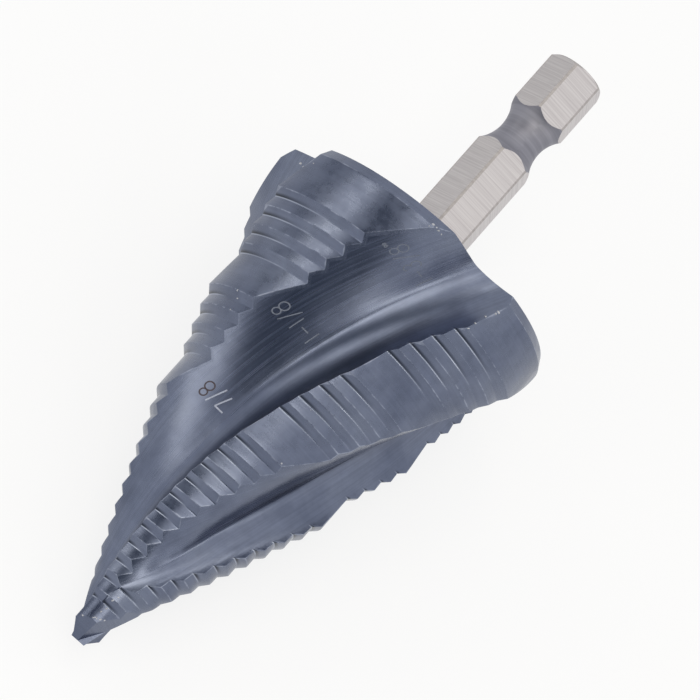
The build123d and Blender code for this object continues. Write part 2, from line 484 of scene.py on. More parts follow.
def set_measure(mesh, name, values):
    """Stores one number per vertex in the mesh, in place of an older measure of that name."""
    measure = mesh.attributes.get(name) or mesh.attributes.new(name, "FLOAT", "POINT")
    measure.data.foreach_set("value", np.asarray(values, dtype=np.float32).ravel())


def measure_skin(piece, grid, measures, at_ends):
    """Stores measures on a closed skin with a grid of that shape, and at its two end points.

    At the ends a measure is 0, unless at_ends gives its two values.
    """
    for name, values in measures.items():
        on_grid = np.broadcast_to(values, grid)
        set_measure(piece.data, name, np.append(on_grid, at_ends.get(name, [0.0, 0.0])))


def stepped_body():
    """The whole body, still with a flat end where its point will be ground."""
    skin = lay_down_xy(sections, row_heights[:, None])
    ends = lay_down(np.zeros(2), np.zeros(2), row_heights[[0, -1]])
    piece = closed_skin("stepped_body", skin, ends)
    at_ends = {"height": row_heights[[0, -1]], "off_root": [ROOT_BAND, ROOT_BAND]}
    measure_skin(piece, sections.shape[:2], measures, at_ends)
    weld(piece)
    return piece


body = stepped_body()
print("the body has", len(body.data.polygons), "faces")

# %% [markdown]
# ## The point
# The point is ground last. Each half gets a flank that climbs away from its lip, and beside the
# chisel a steeper facet that clears the heel and splits the chisel. A grinder would hold the
# tool to the wheel four times. Here one closed block stands for all the space that the wheel
# swept, and a boolean takes it away, which gives exact straight lips.

# %% Grind the point
CHISEL_DIRECTION = 140.8  # degrees from the first cutting edge
FLANK_CLIMB = 43.8  # degrees above level
HEEL_FACET_CLIMB = 61.0
HEEL_FACET_DIRECTION = 115.0  # the way it climbs, counted as the chisel's direction
WHEEL_ROOM = 9.0  # half the size of the block, well past the pilot


def swept_space():
    """A closed block under the four ground surfaces of the point.

    In coordinates p along the chisel and w across it, one half's flank is z = k w and its heel
    facet is z = a p + b w, where w is positive. The other half is the same, turned half round.
    They meet in a crease at p = (k - b) / a times w, and the heel facets end in an upright wall
    along the chisel.
    """
    line = np.radians(CHISEL_DIRECTION)
    lean = np.radians(HEEL_FACET_DIRECTION - CHISEL_DIRECTION)
    k = np.tan(np.radians(FLANK_CLIMB))
    a = np.tan(np.radians(HEEL_FACET_CLIMB)) * np.cos(lean)
    b = -np.tan(np.radians(HEEL_FACET_CLIMB)) * np.sin(lean)
    crease = (k - b) / a
    half = [[-1, 0, 0], [-1, 1, k], [crease, 1, k], [1, 1, a + b], [1, 0, a]]
    turned = [[-p, -w, z] for p, w, z in half]
    floor = [[-1, -1, -1], [1, -1, -1], [1, 1, -1], [-1, 1, -1]]
    corners = WHEEL_ROOM * np.array(half + turned + floor + [[0, 0, 0]])
    faces = [
        [0, 14, 2, 1], [14, 4, 3, 2], [5, 14, 7, 6], [14, 9, 8, 7], [14, 5, 4], [14, 0, 9],
        [13, 12, 11, 10], [12, 13, 1, 2, 3], [10, 11, 6, 7, 8],
        [11, 12, 3, 4, 5, 6], [13, 10, 8, 9, 0, 1],
    ]
    ahead = np.array([np.cos(line), np.sin(line)])
    outward = np.array([np.sin(line), -np.cos(line)])
    level = corners[:, :1] * ahead + corners[:, 1:2] * outward
    block = make_piece("wheel", lay_down_xy(level, corners[:, 2]), faces)
    with open_mesh(block) as shell:
        bmesh.ops.recalc_face_normals(shell, faces=shell.faces)
    return block


def grind_away(piece, block):
    """Cuts the block from the piece and throws the block away."""
    cut = piece.modifiers.new("grind", "BOOLEAN")
    cut.operation = "DIFFERENCE"
    cut.solver = "EXACT"
    cut.object = block
    ground = bpy.data.meshes.new_from_object(piece.evaluated_get(bpy.context.evaluated_depsgraph_get()))
    piece.modifiers.clear()
    piece.data = ground
    bpy.data.objects.remove(block)


def get_measure(mesh, name):
    """The numbers stored per vertex in the mesh."""
    values = np.empty(len(mesh.vertices), dtype=np.float32)
    mesh.attributes[name].data.foreach_get("value", values)
    return values


def measure_point(mesh):
    """Gives the newly ground faces the measures of a plain surface, well away from any riser.

    The cut's new vertices come with no measures, so their stored height is still 0.
    """
    places = np.empty(3 * len(mesh.vertices))
    mesh.vertices.foreach_get("co", places)
    heights = (places.reshape(-1, 3) / MM - point) @ axis
    ground = get_measure(mesh, "height") == 0.0
    set_measure(mesh, "height", heights)
    set_measure(mesh, "off_root", np.where(ground, ROOT_BAND, get_measure(mesh, "off_root")))


grind_away(body, swept_space())
measure_point(body.data)
print("after grinding the point the body has", len(body.data.polygons), "faces")

# %% [markdown]
# ## The shank
# The shank is a quarter-inch hexagon that snaps into a quick-change chuck. Its corners are turned
# down a little, its end is chamfered, and a round groove holds the chuck's balls. All of that is
# turning, so one function of height gives the turned radius. The six flats then cut in wherever
# the turned radius stands out past them, which is what shapes the scallops at the groove. A
# boolean of a hexagonal and a turned bar would give the same shape, but no even rows of faces.

# %% Sizes of the shank
HEX_ACROSS_FLATS = 6.35
HEX_SIDES = 6
CORNERS_TURNED_OFF = 0.18
HEX_CLOCKING = 38.3  # degrees from the first cutting edge at the point to a corner
SHANK_END_CHAMFER = 0.4
GROOVE_FROM_END = 9.5
GROOVE_NECK_DIAMETER = 5.0
GROOVE_RADIUS = 4.7
SHANK_ROOT = 0.5  # the shank's surface starts this deep inside the body
GROOVE_ROW_SPACING = 0.1
PLAIN_ROW_SPACING = 1.0
FLAT_COLUMNS = 8
CORNER_COLUMNS = 7

FLAT_RADIUS = HEX_ACROSS_FLATS / 2
CORNER_RADIUS = (HEX_ACROSS_FLATS / np.cos(np.radians(180 / HEX_SIDES)) - CORNERS_TURNED_OFF) / 2
GROOVE_MIDDLE = OVERALL_LENGTH - GROOVE_FROM_END


def turned_radius(height):
    """Radius of the shank before its flats: the corners', less the groove, less the end chamfer.

    The groove is a circle whose centre lies outside the neck, so its radius there is the neck's
    plus the circle's less the root of (circle squared - distance from the middle squared).
    """
    off_middle = np.minimum(np.abs(height - GROOVE_MIDDLE), GROOVE_RADIUS)
    groove = GROOVE_NECK_DIAMETER / 2 + GROOVE_RADIUS - np.sqrt(GROOVE_RADIUS ** 2 - off_middle ** 2)
    chamfer = CORNER_RADIUS - SHANK_END_CHAMFER + OVERALL_LENGTH - height
    return np.minimum(CORNER_RADIUS, np.minimum(groove, chamfer))


def groove_reach(radius):
    """How far from the groove's middle its surface has the given radius."""
    return np.sqrt(GROOVE_RADIUS ** 2 - (GROOVE_NECK_DIAMETER / 2 + GROOVE_RADIUS - radius) ** 2)


def shank_sections(height):
    """Level sections of the shank, as radius and angle, and whether each column lies on a flat.

    A flat spans the angles whose cosine is above the flat's radius over the turned radius. On it
    the radius is the flat's over the cosine, and between two flats it is the turned radius.
    """
    turned = turned_radius(height)[:, None]
    half_flat = np.degrees(np.arccos(np.minimum(FLAT_RADIUS / turned, 1)))
    side = 360 / HEX_SIDES
    way_flat = np.linspace(-1, 1, FLAT_COLUMNS)[None]
    way_corner = np.linspace(-1, 1, CORNER_COLUMNS)[None, 1:-1]
    on_flat = half_flat * way_flat
    on_corner = side / 2 + (side / 2 - half_flat) * way_corner
    flat_radius = np.minimum(FLAT_RADIUS / np.cos(np.radians(on_flat)), turned)
    corner_radius = turned * np.ones_like(on_corner)
    middles = HEX_CLOCKING + side / 2 + side * np.arange(HEX_SIDES)
    one_side = np.hstack([on_flat, on_corner])
    angles = np.hstack([middle + one_side for middle in middles])
    radii = np.tile(np.hstack([flat_radius, corner_radius]), (1, HEX_SIDES))
    flats = np.tile([True] * FLAT_COLUMNS + [False] * (CORNER_COLUMNS - 2), HEX_SIDES)
    return radii, angles, flats


print("the hexagon is", HEX_ACROSS_FLATS, "mm across flats; its groove is round", GROOVE_MIDDLE, "mm")

# %% [markdown]
# The shank's rows lie close where its radius changes and there is one at every edge. Its faces
# then sort themselves into three finishes: ground bright on the flats, turned on the corners
# between them, and thinly coated in the groove.

# %% Skin the shank
HEIGHT_DECIMALS = 4  # heights that are alike so far are one row
THINLY_COATED, GROUND, TURNED = 0, 1, 2  # order of the finishes in the material slots


def hex_shank():
    """The shank as one closed skin, from inside the body to its end."""
    edges = groove_reach(np.array([CORNER_RADIUS, FLAT_RADIUS]))
    curved = np.arange(-edges[0], edges[0], GROOVE_ROW_SPACING)
    groove = np.concatenate([curved, edges, -edges]) + GROOVE_MIDDLE
    chamfer = np.arange(OVERALL_LENGTH - SHANK_END_CHAMFER, OVERALL_LENGTH, GROOVE_ROW_SPACING / 2)
    ends = [BACK_FACE - SHANK_ROOT, OVERALL_LENGTH]
    plain = np.arange(BACK_FACE, OVERALL_LENGTH - PLAIN_ROW_SPACING, PLAIN_ROW_SPACING)
    heights = np.unique(np.round(np.concatenate([ends, groove, chamfer, plain]), HEIGHT_DECIMALS))
    radii, angles, flats = shank_sections(heights)
    rows, columns = radii.shape
    middles = lay_down(np.zeros(2), np.zeros(2), heights[[0, -1]])
    piece = closed_skin("hex_shank", lay_down(radii, angles, heights[:, None]), middles)
    cell_heights = np.repeat(heights[:-1] + np.diff(heights) / 2, columns)
    on_flat = np.append(np.tile(flats & np.roll(flats, -1), rows - 1), [True] * (2 * columns))
    in_groove = np.abs(np.append(cell_heights, np.zeros(2 * columns)) - GROOVE_MIDDLE) < edges[0]
    finish = np.where(on_flat, GROUND, np.where(in_groove, THINLY_COATED, TURNED))
    piece.data.polygons.foreach_set("material_index", finish.astype(np.int32))
    shank_measures = {"height": heights[:, None], "across": radii * np.radians(angles)}
    measure_skin(piece, radii.shape, shank_measures, {"height": heights[[0, -1]]})
    weld(piece)
    return piece


shank = hex_shank()
print("the shank has", len(shank.data.polygons), "faces")

# %% [markdown]
# ## The size marks
# A laser has written the three most used sizes into one flute, each beside its step. They could
# be text objects, but a laser writes with single strokes, so each figure is drawn here as the
# lines and loops that the beam followed, flat and in millimetres.

# %% Strokes of the size marks
STROKE_SPACING = 0.15  # between two points of a stroke
LOOP_POINTS = 25
BARED, THIN, FAINT, BURNT = 0, 1, 2, 3  # order of the laser's finishes in the material slots
MARKS = {  # text: start along the section, height of the base line, stroke width and finish
    "7/8": (0.78, 27.62, 0.15, BARED),
    "1-1/8": (0.85, 37.72, 0.1, THIN),
    '1-3/8"': (0.45, 49.1, 0.09, FAINT),
}
BURNT_MARK = ("7/8", "8")  # the laser stayed longest on this figure
GLYPH_ADVANCE = {"7": 1.32, "/": 1.12, "8": 1.3, "1": 0.82, "-": 1.42, "3": 1.25, '"': 0.6}


def loop(middle_x, middle_y, half_width, half_height, first=0.0, last=360.0):
    """Points of an ellipse between two angles, counted from the right and turning left."""
    turn = np.radians(np.linspace(first, last, LOOP_POINTS))
    return np.stack([middle_x + half_width * np.cos(turn), middle_y + half_height * np.sin(turn)], axis=1)


def straight(*corners):
    """Points along straight lines between corners, evenly spaced, and the corners themselves."""
    corners = np.array(corners, dtype=float)
    gaps = np.append(0, np.cumsum(np.linalg.norm(np.diff(corners, axis=0), axis=1)))
    even = np.linspace(0, gaps[-1], 2 + int(gaps[-1] / STROKE_SPACING))
    places = np.unique(np.concatenate([even, gaps]))
    return np.stack([np.interp(places, gaps, part) for part in corners.T], axis=1)


GLYPHS = {
    "7": [straight((0.0, 1.65), (1.08, 1.58), (0.42, 0.0))],
    "/": [straight((0.85, 1.75), (0.05, -0.3))],
    "8": [loop(0.5, 1.24, 0.4, 0.36), loop(0.46, 0.44, 0.5, 0.44)],
    "1": [straight((0.22, 1.6), (0.26, 0.0))],
    "-": [straight((0.1, 0.72), (1.0, 0.72))],
    "3": [loop(0.4, 1.25, 0.36, 0.36, 150, -90), loop(0.38, 0.45, 0.46, 0.44, 90, -150)],
    '"': [loop(0.12, 1.5, 0.1, 0.14), loop(0.42, 1.5, 0.1, 0.14)],
}
print("the marks use", len(GLYPHS), "figures and signs")

# %% [markdown]
# Each stroke becomes a narrow ribbon that is wrapped on the flute. Its reading direction runs
# along the level section and its upright direction runs down the axis, because the marks are read
# with the point away from the reader. It stands out by a hair, so that it isn't lost in the skin.

# %% Wrap the marks on the flute
MARKED_FLUTE = 0
MARK_PROUD = 0.012  # how far a stroke stands out of the flute
MARK_THICKNESS = 0.06
SHARES_ALONG_HEEL = np.linspace(0, 1.1, 400)  # a little past the heel, in fine steps


def on_heel_side(along_section, height, proud):
    """Points on the marked flute, from distance along its section and height, lifted by proud.

    The heel curve is sampled finely at each height, its length is added up from the floor, and
    the point at the wanted length is read off. The lift is square to the curve.
    """
    cut = [part[:, None] for part in flute_frame(height, MARKED_FLUTE)]
    curve = polar_xy(*heel_curve(cut, SHARES_ALONG_HEEL[None]))
    steps = np.linalg.norm(np.diff(curve, axis=1), axis=2)
    length = np.concatenate([np.zeros((len(height), 1)), np.cumsum(steps, axis=1)], axis=1)
    place = (length < along_section[:, None]).sum(axis=1).clip(1, len(SHARES_ALONG_HEEL) - 1)
    row = np.arange(len(height))
    before, after = curve[row, place - 1], curve[row, place]
    part = (along_section - length[row, place - 1]) / (length[row, place] - length[row, place - 1])
    way = after - before
    lift = np.stack([way[:, 1], -way[:, 0]], axis=1) / np.linalg.norm(way, axis=1)[:, None]
    lift *= np.sign((lift * before).sum(axis=1))[:, None]
    return lay_down_xy(before + way * part[:, None] + lift * proud, height)


def ribbon(stroke, width):
    """Left and right edge of a stroke: its points moved half a width square to its direction."""
    along_stroke = np.gradient(stroke, axis=0)
    if np.allclose(stroke[0], stroke[-1]):
        along_stroke[[0, -1]] = stroke[1] - stroke[-2]
    along_stroke /= np.linalg.norm(along_stroke, axis=1)[:, None]
    square = np.stack([-along_stroke[:, 1], along_stroke[:, 0]], axis=1) * width / 2
    return stroke + square, stroke - square


def face_outward(piece, outward):
    """Turns over the faces of a small open sheet that look away from the outward direction."""
    with open_mesh(piece) as shell:
        shell.normal_update()
        inward = [face for face in shell.faces if face.normal.dot(Vector(outward)) < 0]
        bmesh.ops.reverse_faces(shell, faces=inward)


def size_marks():
    """All strokes of all marks as thin closed ribbons in one mesh."""
    points = []
    faces = []
    finishes = []
    count = 0
    for text, (start, base, width, finish) in MARKS.items():
        for sign in text:
            for stroke in GLYPHS[sign]:
                left, right = ribbon(stroke, width)
                edge = np.concatenate([left, right])
                points.append(on_heel_side(start + edge[:, 0], base - edge[:, 1], MARK_PROUD))
                first = count + np.arange(len(stroke) - 1)
                cells = np.stack([first, first + len(stroke), first + len(stroke) + 1, first + 1], axis=1)
                faces += cells.tolist()
                finishes += [BURNT if (text, sign) == BURNT_MARK else finish] * len(cells)
                count += 2 * len(stroke)
            start += GLYPH_ADVANCE[sign]
    piece = make_piece("size_marks", np.vstack(points), faces)
    piece.data.polygons.foreach_set("material_index", np.array(finishes, dtype=np.int32))
    weld(piece)
    face_outward(piece, upward + sideways)
    depth = piece.modifiers.new("depth", "SOLIDIFY")
    depth.thickness = MARK_THICKNESS * MM
    depth.offset = -1.0
    return piece


marks = size_marks()
print("the size marks have", len(marks.data.polygons), "faces")

# %% [markdown]
# ## Burrs and chips
# Grinding leaves small torn flecks of steel on the edges, and handling chips the coating there.
# Each is a grain of a few tenths of a millimetre that stands half out of the surface. Scattering
# them over the edges would be easier, but real ones gather where a tool has worked hardest, so a
# table says where each one is. A grain is a small sphere made uneven by seeded numbers, and a ray
# from outside finds the surface that it sits on.

# %% Grains on the edges
GRAIN_RINGS = 7
GRAIN_SPOKES = 9
GRAIN_UNEVENNESS = 0.35
GRAIN_POINTS = (GRAIN_RINGS - 2) * GRAIN_SPOKES + 2  # with the two poles
GRAINS_SEED = 7
RAY_START = 40.0  # mm from the axis, outside everything
GRAINS = [  # angle, height, length, width, and how far it stands out, in degrees and mm
    (85.1, 50.61, 0.42, 0.24, 0.1), (84.6, 50.3, 0.22, 0.2, 0.1), (82.8, 49.37, 0.3, 0.2, 0.08),
    (81.1, 48.0, 0.26, 0.16, 0.08), (80.3, 47.09, 0.3, 0.14, 0.07), (79.2, 46.1, 0.16, 0.12, 0.06),
    (48.0, 52.14, 0.34, 0.22, 0.08), (49.4, 52.1, 0.2, 0.16, 0.08), (50.5, 52.07, 0.3, 0.18, 0.08),
    (52.1, 52.07, 0.22, 0.14, 0.06), (47.2, 51.7, 0.14, 0.12, 0.05),
    (328.6, 52.09, 0.4, 0.26, 0.08), (330.2, 51.9, 0.2, 0.18, 0.06), (357.3, 50.65, 0.16, 0.14, 0.05),
    (18.6, 1.95, 0.3, 0.18, 0.06), (44.0, 2.5, 0.42, 0.14, 0.05), (50.0, 2.6, 0.36, 0.12, 0.05),
    (58.8, 2.76, 0.3, 0.16, 0.05), (67.8, 2.97, 0.26, 0.14, 0.05), (52.2, 4.0, 0.34, 0.16, 0.05),
    (47.0, 3.4, 0.28, 0.14, 0.05), (50.3, 4.89, 0.36, 0.18, 0.05), (54.8, 5.5, 0.24, 0.16, 0.05),
    (358.5, 35.93, 0.3, 0.18, 0.05), (359.1, 35.36, 0.24, 0.16, 0.05), (359.7, 34.03, 0.2, 0.14, 0.05),
    (69.4, 25.2, 0.18, 0.16, 0.07), (63.0, 33.2, 0.14, 0.12, 0.05), (61.5, 31.0, 0.12, 0.1, 0.04),
]


def grain(uneven):
    """A unit sphere as rings and spokes, whose radius at each point is 1 plus an uneven share."""
    tilt = np.linspace(0, np.pi, GRAIN_RINGS)[1:-1, None]
    turn = np.linspace(0, 2 * np.pi, GRAIN_SPOKES, endpoint=False)[None]
    level = np.cos(tilt) * np.ones_like(turn)
    rings = np.stack([np.sin(tilt) * np.cos(turn), np.sin(tilt) * np.sin(turn), level], axis=-1)
    rings = rings.reshape(-1, 3) * (1 + GRAIN_UNEVENNESS * uneven[:, None])
    return np.vstack([rings, [[0, 0, 1.0], [0, 0, -1.0]]])


def grain_faces():
    """Faces of one grain: the cells between its rings and a fan at each pole, all outward."""
    sides = grid_faces(GRAIN_RINGS - 2, GRAIN_SPOKES)[:, ::-1]
    fans = end_fans(GRAIN_RINGS - 2, GRAIN_SPOKES)[:, ::-1]
    return sides.tolist() + fans.tolist()


def edge_grains():
    """All grains in one mesh, each flattened along the body's normal and spun about it at random.

    The points of a grain that would stand out past the CAD model's box are pressed back to it.
    """
    corners = [vertex.co for vertex in body.data.vertices]
    tree = BVHTree.FromPolygons(corners, [cell.vertices for cell in body.data.polygons])
    rng = np.random.default_rng(GRAINS_SEED)
    points = []
    faces = []
    for angle, height, length, width, proud in GRAINS:
        start, aim = lay_down(np.array([RAY_START, 0.0]), np.full(2, angle), np.full(2, height))
        place, normal, _, _ = tree.ray_cast(Vector(start), Vector(aim - start).normalized())
        stand = normal.to_track_quat("Z", "Y").to_matrix()
        spin = rng.uniform(0, np.pi)
        turn = np.array([[np.cos(spin), -np.sin(spin), 0], [np.sin(spin), np.cos(spin), 0], [0, 0, 1]])
        local = grain(rng.uniform(-1, 1, GRAIN_POINTS - 2)) * np.array([length, width, 2 * proud]) / 2
        faces += [[corner + len(points) * GRAIN_POINTS for corner in face] for face in grain_faces()]
        points.append(np.array(place) + local @ turn.T @ np.array(stand).T * MM)
    inside_box = np.clip(np.vstack(points), np.array(CAD_BOX[0]), np.array(CAD_BOX[1]))
    piece = make_piece("edge_grains", inside_box, faces)
    piece.data.polygons.foreach_set("use_smooth", np.ones(len(faces), dtype=bool))
    return piece


grains = edge_grains()
print("there are", len(GRAINS), "grains with", len(grains.data.polygons), "faces")

# %% [markdown]
# ## How the skin catches the light
# The roundings are narrower than a hair, so they need smooth shading to read as roundings. The
# real sharp lines, where the wheel left two ground faces meeting, stay sharp. A Weighted Normal
# modifier then lets the wide faces of the lands keep their own direction, and only the narrow ones
# bend. The flutes curve everywhere, so they keep plain smooth shading.

# %% Smooth and sharp
SHARP_FROM = 24.0  # degrees between two faces


def shade(piece, wide_first_on):
    """Smooth shading, sharp where two faces meet at more than the sharp angle.

    The second argument says for each vertex whether wide faces come first there.
    """
    mesh = piece.data
    mesh.polygons.foreach_set("use_smooth", np.ones(len(mesh.polygons), dtype=bool))
    mesh.set_sharp_from_angle(angle=np.radians(SHARP_FROM))
    group = piece.vertex_groups.new(name="wide_first")
    group.add(np.flatnonzero(wide_first_on).tolist(), 1.0, "REPLACE")
    wide_first = piece.modifiers.new("wide faces first", "WEIGHTED_NORMAL")
    wide_first.keep_sharp = True
    wide_first.vertex_group = group.name
    mesh.update()


shade(body, get_measure(body.data, "in_flute") < 0.5)
shade(shank, np.ones(len(shank.data.vertices), dtype=bool))
print("both skins are smooth, and sharp from", SHARP_FROM, "degrees")

# %% [markdown]
# ## The finishes
# Colours are written as they look on a screen, and one function turns them to the linear values
# that Blender's sockets take. Another adds a node, with its settings and what goes into it. Most
# patterns start from a noise, and a noise seldom leaves the middle of its range, so a pattern
# goes from none to full over a span there.

# %% Colour and node helpers
NOISE_SPAN = (0.3, 0.7)


def linear(hex_colour):
    """Linear red, green, blue and full alpha of an sRGB colour written as six hex digits."""
    channels = np.array([int(hex_colour[place : place + 2], 16) for place in (0, 2, 4)]) / 255
    low = channels / 12.92
    high = ((channels + 0.055) / 1.055) ** 2.4
    return (*np.where(channels <= 0.04045, low, high).tolist(), 1.0)


def add_node(tree, kind, inputs=(), stops=(), **settings):
    """A new node with its settings, its inputs and, on a colour ramp, its stops.

    Inputs go by label, or as a list in the order of the sockets that the settings leave in use.
    Each is a value, another node's output, or a node, which stands for its first output. A stop
    is a place from 0 to 1 and its colour.
    """
    node = tree.nodes.new(kind)
    for name, value in settings.items():
        setattr(node, name, value)
    for number, (place, colour) in enumerate(stops):
        on_ramp = node.color_ramp.elements
        stop = on_ramp[number] if number < len(on_ramp) else on_ramp.new(place)
        stop.position = place
        stop.color = colour
    in_use = [socket for socket in node.inputs if socket.enabled]
    if isinstance(inputs, dict):
        by_label = {socket.name: socket for socket in reversed(in_use)}
        pairs = [(by_label[label], value) for label, value in inputs.items()]
    else:
        pairs = list(zip(in_use, inputs))
    for socket, value in pairs:
        if isinstance(value, bpy.types.Node):
            value = next(output for output in value.outputs if output.enabled)
        if isinstance(value, bpy.types.NodeSocket):
            tree.links.new(value, socket)
        else:
            socket.default_value = value
    return node


def new_material(name):
    """An empty material and its node tree."""
    material = bpy.data.materials.new(name)
    material.use_nodes = True
    material.node_tree.nodes.clear()
    return material, material.node_tree


def measures_of(tree, *names):
    """The outputs that read the mesh's measures of those names."""
    return [add_node(tree, "ShaderNodeAttribute", attribute_name=name).outputs["Fac"] for name in names]


print("a mid grey of 808080 is", round(linear("808080")[0], 3), "in linear light")

# %% [markdown]
# The body is high-speed steel under a thin hard coating, put on as a vapour after grinding. The
# coating follows every grinding line below it. Those lines run round the turned lands and along
# the flutes, so a plain noise won't do: this one is read at the place's height on a land and at
# its place across the section in a flute, and it is nearly still along the line's own length.

# %% Lines and patches of the coating
DRIFT_SIZE = 6.0  # mm from one tint of the coating to the next
PATCH_SIZE = 1.7  # mm from one smooth patch of a land to the next
GRIND_PITCH = 0.26  # mm between the grinding lines that show; the real ones are finer
LINE_STRETCH = 0.014  # a grinding line is this much slower along its length than across
LAND_STRETCH = 0.4  # mm that a turning line counts for from one side of a land to the other


def coating_noises(tree, in_flute):
    """The coating's slow drift, its smooth patches and the lines along which it was ground."""
    place = add_node(tree, "ShaderNodeTexCoord").outputs["Object"]
    drift = add_node(
        tree, "ShaderNodeTexNoise", {"Vector": place, "Scale": 1 / (DRIFT_SIZE * MM), "Detail": 3.0}
    )
    patch_settings = {"Vector": place, "Scale": 1 / (PATCH_SIZE * MM), "Detail": 5.0, "Roughness": 0.65}
    patches = add_node(tree, "ShaderNodeTexNoise", patch_settings)
    height, across, land_way = measures_of(tree, "height", "across", "land_way")
    slow_land = add_node(tree, "ShaderNodeMath", [land_way, LAND_STRETCH], operation="MULTIPLY")
    slow_height = add_node(tree, "ShaderNodeMath", [height, LINE_STRETCH], operation="MULTIPLY")
    turned = add_node(tree, "ShaderNodeCombineXYZ", [height, slow_land])
    ground = add_node(tree, "ShaderNodeCombineXYZ", [across, slow_height])
    way = add_node(tree, "ShaderNodeMix", [in_flute, turned, ground], data_type="VECTOR")
    line_settings = {"Vector": way, "Scale": 1 / GRIND_PITCH, "Detail": 4.0, "Roughness": 0.6}
    lines = add_node(tree, "ShaderNodeTexNoise", line_settings, noise_dimensions="2D")
    return drift, patches, lines


print("grinding lines show every", GRIND_PITCH, "mm and smooth patches every", PATCH_SIZE, "mm")

# %% [markdown]
# The coating is blue-grey. It is a little deeper or thinner from place to place, and streaked by
# the lines. Just above the root of each riser, next to the cutting edge, a dark band is painted
# shade; a thin bright line in the root itself is a painted highlight; and the edges that meet the
# work are a paler grey, partly from wear and partly a painted highlight.

# %% Colour of the coating
COATING = {0.3: "5a6174", 0.5: "666d80", 0.7: "6e7587"}  # deep, common and thin, along the drift
# paler edges: partly real wear and partly a painted highlight along each edge
COATING_WORN_AND_GLINTING = "a6adbe"
# painted shade: the colour of the dark band low on each riser, next to the cutting edge
COATING_PAINTED_SHADE = "2b303b"
STREAKS_ON_LAND = (0.95, 1.05)  # the darkest and the palest line, against the plain colour
STREAKS_IN_FLUTE = (0.92, 1.08)
CLOUD_SPAN = (0.35, 0.65)
CLOUDS = (0.93, 1.06)  # the darkest and the palest patch, against the plain colour
PAINTED_SHADE_FADES = (0.4 * ROOT_BAND, ROOT_BAND)  # from here to there, in mm above the root
PAINTED_SHADE_ENDS = (0.1, 0.55)  # and from here to there in shares of the land, from its cutting edge
# painted highlight: the thin bright line in the root of each riser
ROOT_HIGHLIGHT_FADES = (0.02, 0.08)  # mm off the root
ROOT_HIGHLIGHT_BRIGHTEST = 0.75
ROOT_HIGHLIGHT_BREAKS = (-0.12, 0.22)  # drift less share of the land, from no line to a whole one
WEAR_AND_GLINT_SPAN = (0.4, 0.66)
WEAR_AND_GLINT_STARTS = (1.1, 0.8)  # on_edge past which an edge turns paler, with wear and painted highlight: never on a low patch, soon on a high one
WEAR_AND_GLINT_FULL = 1.15


def coating_colour(tree, in_flute, drift, patches, lines):
    """The drift's tint times streak and cloud, then painted shade at the roots, then paler edges.

    The painted shade and the root's painted highlight are products of shares, so each shows only
    where all of its shares are high. The paler edge, part wear and part painted highlight, and the
    root's painted highlight are alike, so the higher one counts.
    """
    on_edge, land_share, off_root, on_riser = measures_of(
        tree, "on_edge", "land_share", "off_root", "on_riser"
    )
    tints = [(place, linear(colour)) for place, colour in COATING.items()]
    tint = add_node(tree, "ShaderNodeValToRGB", [drift], tints)
    darkest, palest = [
        add_node(tree, "ShaderNodeMapRange", {"Value": in_flute, "To Min": on_land, "To Max": in_flutes})
        for on_land, in_flutes in zip(STREAKS_ON_LAND, STREAKS_IN_FLUTE)
    ]
    streak = add_node(tree, "ShaderNodeMapRange", [lines, *NOISE_SPAN, darkest, palest])
    cloud = add_node(tree, "ShaderNodeMapRange", [patches, *CLOUD_SPAN, *CLOUDS])
    shades = add_node(tree, "ShaderNodeMath", [streak, cloud], operation="MULTIPLY")
    streaked = add_node(
        tree, "ShaderNodeMix", [1.0, tint, shades], data_type="RGBA", blend_type="MULTIPLY"
    )
    on_land = add_node(tree, "ShaderNodeMath", [1.0, in_flute], operation="SUBTRACT", use_clamp=True)
    # painted shade, darkest just above each root and near the cutting edge, on the lands only
    painted_shade = add_node(tree, "ShaderNodeMapRange", [off_root, *PAINTED_SHADE_FADES, 1.0, 0.0])
    near_edge = add_node(tree, "ShaderNodeMapRange", [land_share, *PAINTED_SHADE_ENDS, 1.0, 0.0])
    for share in (on_riser, near_edge, on_land):
        painted_shade = add_node(tree, "ShaderNodeMath", [painted_shade, share], operation="MULTIPLY")
    with_painted_shade = add_node(tree, "ShaderNodeMix", [painted_shade, streaked, linear(COATING_PAINTED_SHADE)], data_type="RGBA")
    # a painted highlight along the root of each riser, on the lands only
    root_highlight = add_node(
        tree, "ShaderNodeMapRange", [off_root, *ROOT_HIGHLIGHT_FADES, ROOT_HIGHLIGHT_BRIGHTEST, 0.0]
    )
    uneven = add_node(tree, "ShaderNodeMath", [drift, land_share], operation="SUBTRACT")
    whole = add_node(tree, "ShaderNodeMapRange", [uneven, *ROOT_HIGHLIGHT_BREAKS])
    for share in (on_land, whole):
        root_highlight = add_node(tree, "ShaderNodeMath", [root_highlight, share], operation="MULTIPLY")
    # the edges turn paler: partly wear, partly a painted highlight
    wear_starts = add_node(tree, "ShaderNodeMapRange", [patches, *WEAR_AND_GLINT_SPAN, *WEAR_AND_GLINT_STARTS])
    wear_and_glint = add_node(tree, "ShaderNodeMapRange", [on_edge, wear_starts, WEAR_AND_GLINT_FULL])
    highlight_and_wear = add_node(tree, "ShaderNodeMath", [root_highlight, wear_and_glint], operation="MAXIMUM", use_clamp=True)
    return add_node(tree, "ShaderNodeMix", [highlight_and_wear, with_painted_shade, linear(COATING_WORN_AND_GLINTING)], data_type="RGBA")


print("the coating is", " to ".join(COATING.values()), "and", COATING_WORN_AND_GLINTING, "where it is worn")

# %% [markdown]
# The coating's gloss is that of the steel below it: half matt on the turned lands, with smoother
# patches, smoother in the flutes, which a fine wheel polished along their length, and a little
# rougher again on the cutting faces. The lines also stand out by a few thousandths of a millimetre.

# %% Coated high-speed steel
LAND_ROUGHNESS = (0.24, 0.34)  # in a smooth patch and beside it
FLUTE_ROUGHNESS = (0.21, 0.3)  # on a fine grinding line and between two
FACE_ROUGHNESS = 0.33
PATCH_SPAN = (0.38, 0.62)
GRIND_DEPTH = 0.004  # mm


